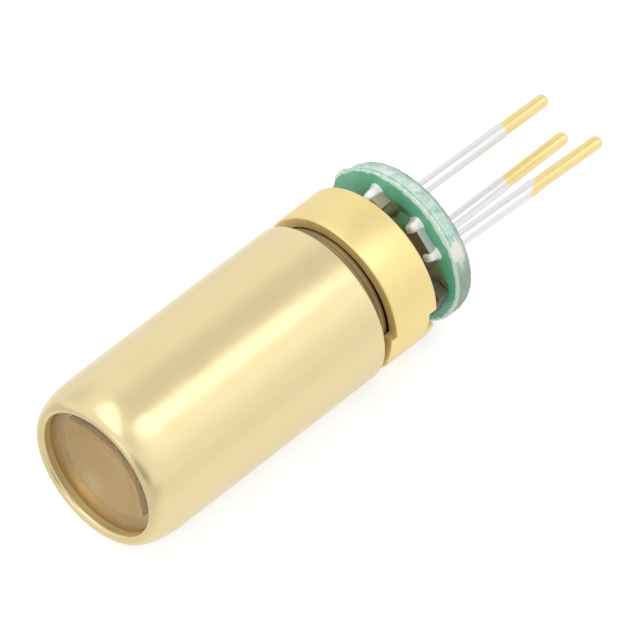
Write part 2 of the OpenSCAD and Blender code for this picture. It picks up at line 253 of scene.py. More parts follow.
def threaded(radius, station, angle):
    """The neck's radius, cut down into the thread's valleys where the outline follows the neck."""
    if abs(radius - NECK_R) > 1e-6:
        return radius
    turn = (station - CREST_STATION) / THREAD_PITCH - (angle - CREST_ANGLE) / (2 * pi)
    off = abs((turn + 0.5) % 1 - 0.5)
    down = min(0.5, max(0, off - CREST_FLAT) / (1 - 2 * CREST_FLAT))
    return radius - THREAD_DEPTH * (0.5 - 0.5 * cos(2 * pi * down))


# Aluminium alloy, cut: a satin grey metal with streaks that follow the thread. Its colour is darkened and
# browned as painted shade of the groove and painted reflection of the brass walls round it.
alloy, tree, shader = material("aluminium alloy cut", Metallic=1)
spot = add(tree, "ShaderNodeTexCoord").outputs["Object"]
along = add(tree, "ShaderNodeSeparateXYZ", {0: spot}).outputs["Y"]
streaks = add(tree, "ShaderNodeTexNoise", {"W": along, "Scale": 1 / (0.05 * MM), "Detail": 3},
              noise_dimensions="1D")
# The tone stands for a grey metal darkened and browned as painted shade and painted brass reflection.
tone = add(tree, "ShaderNodeMix", {"Factor": streaks.outputs["Fac"], 6: linear("#806F50"),
                                   7: linear("#A89672")}, data_type="RGBA")
dull = add(tree, "ShaderNodeMapRange", {"Value": streaks.outputs["Fac"], "To Min": 0.3, "To Max": 0.5})
tree.links.new(tone.outputs[2], shader.inputs["Base Color"])
tree.links.new(dull.outputs["Result"], shader.inputs["Roughness"])

outline = [(HOLDER_PORT_R, HOLDER_FRONT), (HOLDER_R, HOLDER_FRONT), (HOLDER_R, BARREL_LEN)]
outline += [(NECK_R, BARREL_LEN + THREAD_STEP * i) for i in range(THREAD_RINGS)]
outline += [(NECK_R, HOLDER_REAR), (STEM_BORE_R, HOLDER_REAR)]
outline += [(STEM_BORE_R, STEM_BORE_FLOOR), (HOLDER_PORT_R, STEM_BORE_FLOOR)]
holder_sleeve = piece("holder_sleeve", spun(outline, shape=threaded), alloy, smooth=60)
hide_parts("diode_holder")


# Collar: a brass ring pressed on the holder's rear end, a deeper yellow than the barrel. It has two tabs on
# its front edge and two notches behind, by which the holder is turned.
COLLAR_R = 3.22
COLLAR_BORE_R = 2.8
COLLAR_FRONT = 12.15
COLLAR_REAR = 14.2
COLLAR_ROUND = 0.07
TAB_REACH = 0.28
NOTCH_DEPTH = 0.36
# In degrees: the middle and the width of a tab and of a notch, each of which has a twin opposite, and the
# step between two sections of the ring.
TAB = (-10, 24)
NOTCH = (-8, 16)
COLLAR_STEP = 1.5


def within(turn, middle, width):
    """Tells whether a turn in degrees lies in a stretch of the collar or in the stretch opposite."""
    return abs((turn - middle + 90) % 180 - 90) < width / 2


# Brass left as turned, with a satin lacquer: a warm yellow gold with a broad soft highlight, fine rings and
# a few cloudy stains about a millimetre across.
lacquered, tree, shader, drift = mottled("brass turned satin", 0.9, "#F2DA92", "#F8E5A8", detail=4,
                                         rough=0.65, Metallic=1)
spot = add(tree, "ShaderNodeTexCoord").outputs["Object"]
along = add(tree, "ShaderNodeSeparateXYZ", {0: spot}).outputs["Y"]
rings = add(tree, "ShaderNodeTexNoise", {"W": along, "Scale": 1 / (0.05 * MM), "Detail": 2},
            noise_dimensions="1D")
dull = add(tree, "ShaderNodeMapRange", {"Value": drift, "From Min": 0.3, "From Max": 0.7,
                                        "To Min": 0.34, "To Max": 0.42})
ridge = add(tree, "ShaderNodeBump", {"Height": rings.outputs["Fac"], "Strength": 0.2,
                                     "Distance": 0.005 * MM})
tree.links.new(dull.outputs["Result"], shader.inputs["Roughness"])
tree.links.new(ridge.outputs["Normal"], shader.inputs["Normal"])

# Brass parted off: the ends and the bore, dull and darker, with the tearing of the parting tool.
parted, *_ = mottled("brass parted off", 0.3, "#D6BC82", "#EAD4A0", Metallic=0.7, Roughness=0.5)

breaks = sorted((middle + half + sign * width / 2) % 360
                for middle, width in (TAB, NOTCH) for half in (0, 180) for sign in (-1, 1))
edge = [(COLLAR_R - COLLAR_ROUND * (1 - s), COLLAR_ROUND * (1 - c)) for s, c in quarter(4)]
bm = bmesh.new()
loops = []
for start, end in zip(breaks, breaks[1:] + [breaks[0] + 360]):
    front = COLLAR_FRONT - TAB_REACH * within((start + end) / 2, *TAB)
    rear = COLLAR_REAR - NOTCH_DEPTH * within((start + end) / 2, *NOTCH)
    section = [(COLLAR_BORE_R, front)] + [(r, front + depth) for r, depth in edge]
    section += [(r, rear - depth) for r, depth in reversed(edge)] + [(COLLAR_BORE_R, rear)]
    steps = max(2, round((end - start) / COLLAR_STEP))
    for i in range(steps + 1):
        turn = radians(start + (end - start) * i / steps)
        loops.append([bm.verts.new((r * cos(turn), s - AXIS_ZERO, r * sin(turn))) for r, s in section])
ends_and_bore = dict.fromkeys((0, len(section) - 2, len(section) - 1), 1)
for here, there in zip(loops, loops[1:] + loops[:1]):
    skin(bm, here, there, finish=ends_and_bore)
weld(bm)
collar_ring = piece("collar_ring", bm, lacquered, parted)
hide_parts("collar")


# Laser diode: a gilt steel stem with a nickel-plated cap welded on, a glass window, the chips on their
# pedestal and a glass seal round each insulated lead. It sits in the holder, and its rear shows inside the
# collar. The shapes are those of the solids.

# Gilt steel: a satin gold with a fine orange peel from plating.
gilt, tree, shader = material("steel gilt", Base_Color=linear("#E9C878"), Metallic=1)
spot = add(tree, "ShaderNodeTexCoord").outputs["Object"]
peel = add(tree, "ShaderNodeTexNoise", {"Vector": spot, "Scale": 1 / (0.12 * MM), "Detail": 3})
dull = add(tree, "ShaderNodeMapRange", {"Value": peel.outputs["Fac"], "To Min": 0.25, "To Max": 0.45})
ridge = add(tree, "ShaderNodeBump", {"Height": peel.outputs["Fac"], "Strength": 0.2, "Distance": 0.01 * MM})
tree.links.new(dull.outputs["Result"], shader.inputs["Roughness"])
tree.links.new(ridge.outputs["Normal"], shader.inputs["Normal"])

# Nickel plate on drawn steel: a warm grey mirror, a little blurred.
nickel, tree, shader = material("steel nickel plated", Base_Color=linear("#CFCBC2"), Metallic=1)
spot = add(tree, "ShaderNodeTexCoord").outputs["Object"]
draw = add(tree, "ShaderNodeTexNoise", {"Vector": spot, "Scale": 1 / (0.2 * MM), "Detail": 3})
dull = add(tree, "ShaderNodeMapRange", {"Value": draw.outputs["Fac"], "To Min": 0.15, "To Max": 0.3})
tree.links.new(dull.outputs["Result"], shader.inputs["Roughness"])

# Borosilicate glass, polished: clear, with a faint green depth.
window, *_ = material("borosilicate glass polished", Base_Color=linear("#F2F8F4"), Roughness=0.0, IOR=1.47,
                      Transmission_Weight=1)

# Fused sealing glass: dark green, smooth where it has flowed round the lead.
seal, *_ = mottled("sealing glass fused", 0.25, "#2E3F36", "#51665A", detail=2, Roughness=0.12, IOR=1.5)

# Aluminium nitride, sawn: a pale matt ceramic with a fine speckle.
nitride, *_ = mottled("aluminium nitride sawn", 0.04, "#C9C8C2", "#E4E3DE", detail=2, Roughness=0.6, IOR=2.1)

# Semiconductor crystal, cleaved: dark grey with a metallic gleam.
crystal, *_ = mottled("semiconductor cleaved", 0.15, "#2C2E36", "#464A58", detail=1, Roughness=0.08, IOR=3.5)

for name, finish in (("diode_stem", gilt), ("diode_cap", nickel), ("diode_window", window),
                     ("lead_seals", seal), ("submount", nitride), ("laser_chip", crystal),
                     ("monitor_chip", crystal)):
    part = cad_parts[name]
    part.data.materials.clear()
    part.data.materials.append(finish)


# Driver board: a round of glass laminate with green solder mask on both faces. Its edge is routed and rough,
# with the stub where it was snapped from its panel. The diode's leads carry it.
BOARD_R = 3.18
BOARD_FRONT = 15.42
BOARD_T = 0.75
RIM_STEPS = 540
EDGE_RINGS = 6
HOLE_R = 0.33
HOLE_SIDES = 32
WEAR_IN = 0.18
WEAR_LEN = 0.35
NUB_FOOT = 1.0
NUB_TIP = 0.4
NUB_REACH = 0.14
NUB_T = 0.3
NUB_SLOPE = 0.1
# The frayed edge: the weight and the count per millimetre of its three grains, what is taken off to keep it
# inside the board's radius, and how far it goes in and out on the edge and on the stub.
FRAY_GRAINS = ((1, 5), (0.6, 14), (0.3, 31))
FRAY_SINK = 0.6
FRAY_EDGE = 0.02
FRAY_NUB = 0.03
LEAD_CIRCLE_R = 1.27
LEAD_PIVOT = 13.7
# In degrees: where the stub and the leads stand round the axis, how far each lead leans, and to which side.
NUB_TURN = 149
LEAD_TURNS = {"left_lead": 176, "lower_lead": -94, "right_lead": -4}
LEAD_LEANS = {"left_lead": 1.1, "lower_lead": 0, "right_lead": 2}
LEAN_TURN = -33


def along_lead(name):
    """Places what is drawn along +Y from the stem's rear face on the axis of a lead, which may lean."""
    turn, lean, towards = radians(LEAD_TURNS[name]), radians(LEAD_LEANS[name]), radians(LEAN_TURN)
    foot = Vector((LEAD_CIRCLE_R * cos(turn), LEAD_PIVOT - AXIS_ZERO, LEAD_CIRCLE_R * sin(turn)))
    way = Vector((sin(lean) * cos(towards), cos(lean), sin(lean) * sin(towards)))
    return Matrix.Translation(foot) @ Vector((0, 1, 0)).rotation_difference(way).to_matrix().to_4x4()


def share(value):
    """A value held between 0 and 1."""
    return max(0, min(1, value))


# Epoxy solder mask: a glossy translucent green, cloudy where it pools over the copper. It is chipped back to
# the pale laminate in a ragged border, widest at the upper right. On the front, a brown pool of painted
# shade lies round the leads, where the collar shades the board, and a dark green painted shadow lies
# beside the capacitor.
CHIPPED_R = (3.3, 3.34)
CHIP_REACH = 0.4
CHIP_LEAN = (0.045, 0, 0.025)
SHADE_MIDDLE = (0.8, BOARD_FRONT - AXIS_ZERO, -0.3)
SHADE_FLATTENED = (1, 4, 1)
SHADE_R = (1.7, 2.0)
SHADOW_MIDDLE = (0.22, BOARD_FRONT - AXIS_ZERO, 2.11)
SHADOW_REACH = (0.5, 0.2, 0.1333)
mask, tree, shader = material("solder mask epoxy green", IOR=1.52, Coat_Weight=0.3, Coat_Roughness=0.15)
spot = add(tree, "ShaderNodeTexCoord").outputs["Object"]
cloud = add(tree, "ShaderNodeTexNoise", {"Vector": spot, "Scale": 1 / (0.6 * MM), "Detail": 4,
                                         "Roughness": 0.6})
weave = add(tree, "ShaderNodeTexNoise", {"Vector": spot, "Scale": 1 / (0.09 * MM), "Detail": 1})
chips = add(tree, "ShaderNodeTexNoise", {"Vector": spot, "Scale": 1 / (0.35 * MM), "Detail": 4,
                                         "Roughness": 0.7})
across = add(tree, "ShaderNodeVectorMath", {0: spot, 1: (1, 0, 1)}, operation="MULTIPLY")
across = add(tree, "ShaderNodeVectorMath", {0: across.outputs[0]}, operation="LENGTH")
across = add(tree, "ShaderNodeMath", {0: chips.outputs["Fac"], 1: CHIP_REACH * MM,
                                      2: across.outputs["Value"]}, operation="MULTIPLY_ADD")
aside = add(tree, "ShaderNodeVectorMath", {0: spot, 1: CHIP_LEAN}, operation="DOT_PRODUCT")
border = add(tree, "ShaderNodeMath", {0: across.outputs[0], 1: aside.outputs["Value"]}, operation="ADD")
chipped = add(tree, "ShaderNodeMapRange", {"Value": border.outputs[0], "From Min": CHIPPED_R[0] * MM,
                                           "From Max": CHIPPED_R[1] * MM})
# The brown pool is painted shade where the collar shades the board, centred off the axis to the lower right.
painted_pool = add(tree, "ShaderNodeVectorMath", {0: spot, 1: Vector(SHADE_MIDDLE) * MM}, operation="SUBTRACT")
painted_pool = add(tree, "ShaderNodeVectorMath", {0: painted_pool.outputs[0], 1: SHADE_FLATTENED}, operation="MULTIPLY")
painted_pool = add(tree, "ShaderNodeVectorMath", {0: painted_pool.outputs[0]}, operation="LENGTH")
painted_pool = add(tree, "ShaderNodeMath", {0: chips.outputs["Fac"], 1: CHIP_REACH * MM, 2: painted_pool.outputs["Value"]},
           operation="MULTIPLY_ADD")
painted_pool = add(tree, "ShaderNodeMapRange", {"Value": painted_pool.outputs[0], "From Min": SHADE_R[0] * MM,
                                        "From Max": SHADE_R[1] * MM, "To Min": 0.75, "To Max": 0})
# A dark green painted shadow between the capacitor and the resistor, along the collar's edge.
painted_shadow = add(tree, "ShaderNodeVectorMath", {0: spot, 1: Vector(SHADOW_MIDDLE) * MM}, operation="SUBTRACT")
painted_shadow = add(tree, "ShaderNodeVectorMath", {0: painted_shadow.outputs[0], 1: Vector(SHADOW_REACH) * MM},
            operation="DIVIDE")
painted_shadow = add(tree, "ShaderNodeVectorMath", {0: painted_shadow.outputs[0]}, operation="LENGTH")
painted_shadow = add(tree, "ShaderNodeMapRange", {"Value": painted_shadow.outputs["Value"], "From Min": 0.7, "From Max": 1.4,
                                         "To Min": 0.8, "To Max": 0})
tone = add(tree, "ShaderNodeMix", {"Factor": cloud.outputs["Fac"], 6: linear("#46A27A"),
                                   7: linear("#6EBE9E")}, data_type="RGBA")
# The painted shadow, the painted shade and the pale chipped border are laid over the green in turn.
for cover, colour in ((painted_shadow, "#3A5634"), (painted_pool, "#7E6C3A"), (chipped, "#CFE3D8")):
    tone = add(tree, "ShaderNodeMix", {"Factor": cover.outputs["Result"], 6: tone.outputs[2],
                                       7: linear(colour)}, data_type="RGBA")
dull = add(tree, "ShaderNodeMapRange", {"Value": weave.outputs["Fac"], "To Min": 0.25, "To Max": 0.5})
ridge = add(tree, "ShaderNodeBump", {"Height": weave.outputs["Fac"], "Strength": 0.15,
                                     "Distance": 0.01 * MM})
tree.links.new(tone.outputs[2], shader.inputs["Base Color"])
tree.links.new(dull.outputs["Result"], shader.inputs["Roughness"])
tree.links.new(ridge.outputs["Normal"], shader.inputs["Normal"])

# Glass laminate, routed: a pale green edge of cut fibres in plies about 0.1 mm thick. It is white where they
# fray, most of all in one patch on the right. It is darker grey low down and along the rear, as painted
# shade.
FRAYED_MIDDLE = (2.83, 9.15, 1.5)
FRAYED_REACH = 1.6
SHADE_BELOW = (1.3, 0.6)
SHADE_BEHIND = (9.35, 9.6)
laminate, tree, shader = material("glass laminate routed", Roughness=0.6, IOR=1.52, Subsurface_Weight=0.15,
                                  Subsurface_Scale=0.1 * MM)
spot = add(tree, "ShaderNodeTexCoord").outputs["Object"]
split = add(tree, "ShaderNodeSeparateXYZ", {0: spot})
fray = add(tree, "ShaderNodeTexNoise", {"Vector": spot, "Scale": 1 / (0.32 * MM), "Detail": 5,
                                        "Roughness": 0.7})
plies = add(tree, "ShaderNodeTexNoise", {"W": split.outputs["Y"], "Scale": 1 / (0.1 * MM), "Detail": 2},
            noise_dimensions="1D")
both = add(tree, "ShaderNodeMix", {"Factor": 0.3, 2: fray.outputs["Fac"], 3: plies.outputs["Fac"]})
stops = add(tree, "ShaderNodeValToRGB", {"Fac": both.outputs[0]})
stops.color_ramp.elements[0].position = 0.36
stops.color_ramp.elements[0].color = linear("#80A896")
stops.color_ramp.elements[1].position = 0.62
stops.color_ramp.elements[1].color = linear("#CFDAD3")
middle = stops.color_ramp.elements.new(0.5)
middle.color = linear("#A9C2B6")
ridge = add(tree, "ShaderNodeBump", {"Height": both.outputs[0], "Strength": 0.5, "Distance": 0.04 * MM})
apart = add(tree, "ShaderNodeVectorMath", {0: spot, 1: Vector(FRAYED_MIDDLE) * MM}, operation="DISTANCE")
apart = add(tree, "ShaderNodeMath", {0: fray.outputs["Fac"], 1: -FRAYED_REACH * MM,
                                     2: apart.outputs["Value"]}, operation="MULTIPLY_ADD")
white = add(tree, "ShaderNodeMapRange", {"Value": apart.outputs[0], "From Min": -0.25 * MM,
                                         "From Max": -0.4 * MM})
# Painted shade: the edge turns grey towards the bottom and towards the rear face.
low = add(tree, "ShaderNodeMapRange", {"Value": split.outputs["Z"], "From Min": SHADE_BELOW[0] * MM,
                                       "From Max": SHADE_BELOW[1] * MM, "To Max": 0.65})
rear = add(tree, "ShaderNodeMapRange", {"Value": split.outputs["Y"], "From Min": SHADE_BEHIND[0] * MM,
                                        "From Max": SHADE_BEHIND[1] * MM, "To Max": 0.7})
tone = stops.outputs["Color"]
for cover, colour in ((white, "#D0D4C4"), (low, "#708068"), (rear, "#6F8C80")):
    tone = add(tree, "ShaderNodeMix", {"Factor": cover.outputs["Result"], 6: tone, 7: linear(colour)},
               data_type="RGBA").outputs[2]
tree.links.new(tone, shader.inputs["Base Color"])
tree.links.new(ridge.outputs["Normal"], shader.inputs["Normal"])

levels = [(BOARD_T - WEAR_LEN) * k / EDGE_RINGS for k in range(EDGE_RINGS)]
levels += [BOARD_T - WEAR_LEN * (1 - s) for s, c in quarter(8)]
bm = bmesh.new()
shells = []
for level in levels:
    worn = share((level - BOARD_T + WEAR_LEN) / WEAR_LEN)
    base = BOARD_R - WEAR_IN * (1 - (1 - worn ** 2) ** 0.5)
    shell = []
    for i in range(RIM_STEPS):
        off = 2 * pi * i / RIM_STEPS - pi
        aside = BOARD_R * abs(sin(off)) if cos(off) > 0 else BOARD_R
        stub = share((NUB_FOOT / 2 - aside) / (NUB_FOOT / 2 - NUB_TIP / 2))
        stub *= share((NUB_T + NUB_SLOPE - level) / NUB_SLOPE)
        turn = off + radians(NUB_TURN)
        height = BOARD_FRONT + level - AXIS_ZERO
        grain = Vector((BOARD_R * cos(turn), height, BOARD_R * sin(turn)))
        rough = sum(weight * noise.noise(grain * count) for weight, count in FRAY_GRAINS) - FRAY_SINK
        reach = base + NUB_REACH * stub + (FRAY_EDGE + FRAY_NUB * stub) * rough
        shell.append(bm.verts.new((reach * cos(turn), height, reach * sin(turn))))
    shells.append(shell)
for low, high in zip(shells, shells[1:]):
    skin(bm, low, high, base=1)
walls = {}
round_hole = [2 * pi * i / HOLE_SIDES for i in range(HOLE_SIDES)]
for level, shell in ((0, shells[0]), (BOARD_T, shells[-1])):
    border = [bm.edges.get(pair) for pair in zip(shell, shell[1:] + shell[:1])]
    walls[level] = []
    for name in LEAD_TURNS:
        middle = along_lead(name) @ Vector((0, BOARD_FRONT + level - LEAD_PIVOT, 0))
        hole = [bm.verts.new((middle.x + HOLE_R * cos(turn), BOARD_FRONT + level - AXIS_ZERO,
                              middle.z + HOLE_R * sin(turn))) for turn in round_hole]
        walls[level].append(hole)
        border += [bm.edges.new(pair) for pair in zip(hole, hole[1:] + hole[:1])]
    bmesh.ops.triangle_fill(bm, edges=border, use_beauty=True)
for low, high in zip(walls[0], walls[BOARD_T]):
    skin(bm, low, high, base=1)
board_round = piece("board_round", bm, mask, laminate)
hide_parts("driver_board")


# Leads: three straight gilt wires that come out of the diode's stem, run through the board and end in
# rounded tips. Solder has crept along them from the board and left only the tips gold.
LEAD_R = 0.26
TINNED_R = 0.285
TIN_EDGE = 0.05
TIN_RAGGED = 0.16
TIN_BLUR = 0.02
LEAD_TIP = 24.62
LEAD_START = {"left_lead": 12.6, "lower_lead": 13.7, "right_lead": 12.6}
# The length of each bare tip, and how steeply the tin's edge runs across the wire.
BARE = {"left_lead": 2.35, "lower_lead": 3.35, "right_lead": 3.38}
SLANT = {"left_lead": 0, "lower_lead": 0, "right_lead": 2}
# Rings of points from the stem's rear face that keep the shading of the tin's edge near it.
LEAD_RINGS = [2 + 0.5 * i for i in range(9)]

for name in LEAD_TURNS:
    bare = LEAD_TIP - BARE[name] - LEAD_PIVOT
    middle = along_lead(name) @ Vector((0, bare, 0))
    line = (middle.y + SLANT[name] * middle.x + TIN_RAGGED / 2) * MM

    # Gilt wire, drawn, with a coat of bright tin solder up to an uneven line across it.
    coated, tree, shader = material("wire gilt and tinned " + name, Metallic=1)
    spot = add(tree, "ShaderNodeTexCoord").outputs["Object"]
    split = add(tree, "ShaderNodeSeparateXYZ", {0: spot})
    ripple = add(tree, "ShaderNodeTexNoise", {"Vector": spot, "Scale": 1 / (0.2 * MM), "Detail": 3})
    edge = add(tree, "ShaderNodeMath", {0: ripple.outputs["Fac"], 1: TIN_RAGGED * MM, 2: split.outputs["Y"]},
               operation="MULTIPLY_ADD")
    edge = add(tree, "ShaderNodeMath", {0: split.outputs["X"], 1: SLANT[name], 2: edge.outputs[0]},
               operation="MULTIPLY_ADD")
    gold = add(tree, "ShaderNodeMapRange", {"Value": edge.outputs[0], "From Min": line - TIN_BLUR * MM,
                                            "From Max": line + TIN_BLUR * MM})
    tint = add(tree, "ShaderNodeMix", {"Factor": ripple.outputs["Fac"], 6: linear("#F0D68E"),
                                       7: linear("#F8E6AC")}, data_type="RGBA")
    tone = add(tree, "ShaderNodeMix", {"Factor": gold.outputs["Result"], 6: linear("#E9E9EB"),
                                       7: tint.outputs[2]}, data_type="RGBA")
    dull = add(tree, "ShaderNodeMapRange", {"Value": ripple.outputs["Fac"], "To Min": 0.2, "To Max": 0.36})
    ridge = add(tree, "ShaderNodeBump", {"Height": ripple.outputs["Fac"], "Strength": 0.15,
                                         "Distance": 0.02 * MM})
    tree.links.new(tone.outputs[2], shader.inputs["Base Color"])
    tree.links.new(dull.outputs["Result"], shader.inputs["Roughness"])
    tree.links.new(ridge.outputs["Normal"], shader.inputs["Normal"])

    start = LEAD_START[name] - LEAD_PIVOT
    shoulder = LEAD_TIP - LEAD_PIVOT - LEAD_R
    outline = [(0, start), (TINNED_R, start)] + [(TINNED_R, ring) for ring in LEAD_RINGS]
    outline += [(TINNED_R, bare - TIN_EDGE), (LEAD_R, bare + TIN_EDGE)]
    outline += [(LEAD_R * c, shoulder + LEAD_R * s) for s, c in quarter(12)]
    wire = piece(name + "_wire", spun(outline, turns=64, place=along_lead(name)), coated)
    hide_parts(name)


# Solder joints: a hollow-sided cone of solder round each lead on the board's rear face. The solder has
# wetted the wire and the copper round the hole, and it holds the board on the leads.
JOINT_BORE_R = 0.28
JOINT_TOP_R = 0.33
JOINT_FOOT_R = 0.6
JOINT_RISE = 0.55
JOINT_CROWN = 0.01
JOINT_SINK = 0.02

# Tin solder, frozen dull: a soft silver that shows hardly any reflections, with slight ripples.
solder, tree, shader = material("tin solder dull", Base_Color=linear("#F2F2F0"), Metallic=0.6)
spot = add(tree, "ShaderNodeTexCoord").outputs["Object"]
ripple = add(tree, "ShaderNodeTexNoise", {"Vector": spot, "Scale": 1 / (0.22 * MM), "Detail": 3})
dull = add(tree, "ShaderNodeMapRange", {"Value": ripple.outputs["Fac"], "To Min": 0.42, "To Max": 0.6})
ridge = add(tree, "ShaderNodeBump", {"Height": ripple.outputs["Fac"], "Strength": 0.3,
                                     "Distance": 0.04 * MM})
tree.links.new(dull.outputs["Result"], shader.inputs["Roughness"])
tree.links.new(ridge.outputs["Normal"], shader.inputs["Normal"])

foot = BOARD_FRONT + BOARD_T - LEAD_PIVOT
outline = [(JOINT_BORE_R, foot - JOINT_SINK), (JOINT_FOOT_R, foot - JOINT_SINK)]
outline += [(JOINT_TOP_R + (JOINT_FOOT_R - JOINT_TOP_R) * (1 - s), foot + JOINT_RISE * (1 - c))
            for s, c in quarter(14)]
outline += [(JOINT_BORE_R, foot + JOINT_RISE + JOINT_CROWN)]
bm = bmesh.new()
for name in LEAD_TURNS:
    cone = spun(outline, turns=64, place=along_lead(name))
    scratch = bpy.data.meshes.new("solder cone")
    cone.to_mesh(scratch)
    cone.free()
    bm.from_mesh(scratch)
    bpy.data.meshes.remove(scratch)
solder_cones = piece("solder_cones", bm, solder)
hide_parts("solder_joints")


# Chip resistor: a slip of white ceramic with a dark glaze on top, soldered down at both ends on the board's
# front. The solder has drawn up into a round bead at each end.
RESISTOR = (1.6, 0.8, 0.35)
RESISTOR_END = 0.38
RESISTOR_CORNER = 0.03
RESISTOR_BEAD = (0.46, 0.6, 0.47)
RESISTOR_BEAD_ASIDE = 0.1
# A seat on the board: its distance from the axis, and in degrees its turn and the way the chip runs.
RESISTOR_SEAT = (2.0, 44, -46)
# How far a chip's body runs in under its two ends, and what comes off its size inside them.
CHIP_TUCK = 0.1
CHIP_SHY = 0.02
# A bead: its rows and sides, how full its outline and how square its plan is, and how far its heel spreads
# and how fast that runs out upwards.
BEAD_ROWS = 18
BEAD_SIDES = 48
BEAD_FULL = 2.4
BEAD_SQUARE = 0.75
HEEL = 0.08
HEEL_FALL = 9


def on_board(distance, turn, run):
    """Places what is drawn with its length along X and its height along -Y on the board's front face."""
    spot = Vector((distance * cos(radians(turn)), BOARD_FRONT - AXIS_ZERO, distance * sin(radians(turn))))
    return Matrix.Translation(spot) @ Matrix.Rotation(-radians(run), 4, "Y")


def block(bm, size, corner, place, lift=0):
    """A block of length, width and height with its edges rounded over."""
    made = bmesh.ops.create_cube(bm, size=1)["verts"]
    scale = Matrix.Diagonal((size[0], size[2], size[1], 1))
    seated = place @ Matrix.Translation((0, -size[2] / 2 - lift, 0)) @ scale
    bmesh.ops.transform(bm, matrix=seated, verts=made)
    edges = list({edge for vert in made for edge in vert.link_edges})
    bmesh.ops.bevel(bm, geom=edges, offset=corner, segments=3, profile=0.5, affect="EDGES")


def bead(bm, length, width, height, place, shade_coated=False):
    """One soldered end of a chip part: a round bead that runs out in a hollow heel on the board."""
    rows = []
    for up, _ in quarter(BEAD_ROWS):
        swell = (1 - up ** BEAD_FULL) ** (1 / BEAD_FULL)
        flare = HEEL * exp(-HEEL_FALL * up)
        row = []
        for j in range(BEAD_SIDES):
            c, s = cos(2 * pi * j / BEAD_SIDES), sin(2 * pi * j / BEAD_SIDES)
            x = copysign(abs(c) ** BEAD_SQUARE, c) * (length / 2 * swell + flare)
            z = copysign(abs(s) ** BEAD_SQUARE, s) * (width / 2 * swell + flare / 2)
            row.append(bm.verts.new(place @ Vector((x, -height * up, z))))
        rows.append(row)
    for low, high in zip(rows, rows[1:]):
        skin(bm, low, high, base=int(shade_coated))
    bm.faces.new(rows[0])
    bmesh.ops.remove_doubles(bm, verts=rows[-1], dist=1e-4)


# Alumina, pressed and fired: a pale grey-green ceramic, faintly mottled, on the sides of the slip.
alumina, *_ = mottled("alumina fired pale", 0.12, "#98A49A", "#B4BCB4", Roughness=0.5, IOR=1.76)

# Resistor glaze: a dark brown glass over the alumina, slightly glossy.
glaze, *_ = mottled("resistor glaze dark", 0.15, "#5A5036", "#7C7050", detail=2, Roughness=0.35, IOR=1.55)

seat = on_board(*RESISTOR_SEAT)
bm = bmesh.new()
block(bm, (RESISTOR[0] - 2 * RESISTOR_END + CHIP_TUCK, RESISTOR[1] - CHIP_SHY, RESISTOR[2]), RESISTOR_CORNER,
      seat)
bm.normal_update()
for face in bm.faces:
    face.material_index = int(face.normal.y < -0.9)
resistor_slip = piece("resistor_slip", bm, alumina, glaze)
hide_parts("resistor_body")
bm = bmesh.new()
for flip, aside in ((0, RESISTOR_BEAD_ASIDE), (180, -RESISTOR_BEAD_ASIDE)):
    end = seat @ Matrix.Rotation(radians(flip), 4, "Y")
    bead(bm, *RESISTOR_BEAD, end @ Matrix.Translation((RESISTOR[0] / 2 - RESISTOR_END / 2, 0, aside)))
resistor_beads = piece("resistor_beads", bm, solder)
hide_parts("resistor_ends")


# Chip capacitor: a block of fired tan ceramic with two broad soldered ends, near the top of the board's
# front. One of the ends is coated in dark brown resin as painted shade.
CAPACITOR = (1.25, 0.7, 0.6)
CAPACITOR_END = 0.42
CAPACITOR_CORNER = 0.05
CAPACITOR_BEAD = (0.46, 0.7, 0.7)
CAPACITOR_SEAT = (2.05, 104, -21)

# Fired ceramic: a matt tan with a fine grain.
fired, *_ = mottled("ceramic fired tan", 0.08, "#8F8672", "#ADA38C", Roughness=0.5, IOR=1.7)

# Flux resin: a glossy dark brown skin left over the solder. On the capacitor's second end and the
# protector's feet it is painted shade.
resin, *_ = mottled("flux resin brown", 0.3, "#3F3B22", "#6E6A48", detail=2, Roughness=0.25, IOR=1.5)

seat = on_board(*CAPACITOR_SEAT)
bm = bmesh.new()
block(bm, (CAPACITOR[0] - 2 * CAPACITOR_END + CHIP_TUCK, CAPACITOR[1] - CHIP_SHY, CAPACITOR[2] - CHIP_SHY),
      CAPACITOR_CORNER, seat)
capacitor_block = piece("capacitor_block", bm, fired)
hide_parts("capacitor_body")
bm = bmesh.new()
# The second end of the capacitor takes the resin as painted shade.
for flip in (0, 180):
    end = seat @ Matrix.Rotation(radians(flip), 4, "Y")
    bead(bm, *CAPACITOR_BEAD, end @ Matrix.Translation((CAPACITOR[0] / 2 - CAPACITOR_END / 2, 0, 0)),
         shade_coated=flip == 0)
capacitor_beads = piece("capacitor_beads", bm, solder, resin)
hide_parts("capacitor_ends")


# Protection diode: a black moulded body on two flat feet, soldered low on the board beside the collar. Its
# feet are coated in brown resin as painted shade.
PROTECTOR = (1.2, 0.8, 0.65)
PROTECTOR_CORNER = 0.06
PROTECTOR_SEAT = (2.35, -18, 72)
FOOT = (0.2, 0.4, 0.12)
FOOT_CORNER = 0.03

# Moulded epoxy: a dull brownish black with a fine grain from the mould.
moulding, tree, shader, drift = mottled("epoxy moulded black", 0.05, "#4A4436", "#5E5644", detail=2,
                                        Roughness=0.55, IOR=1.55)
ridge = add(tree, "ShaderNodeBump", {"Height": drift, "Strength": 0.3, "Distance": 0.01 * MM})
tree.links.new(ridge.outputs["Normal"], shader.inputs["Normal"])

seat = on_board(*PROTECTOR_SEAT)
bm = bmesh.new()
block(bm, (PROTECTOR[0], PROTECTOR[1], PROTECTOR[2] - FOOT[2]), PROTECTOR_CORNER, seat, lift=FOOT[2])
protector_moulding = piece("protector_moulding", bm, moulding)
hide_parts("protector_body")
bm = bmesh.new()
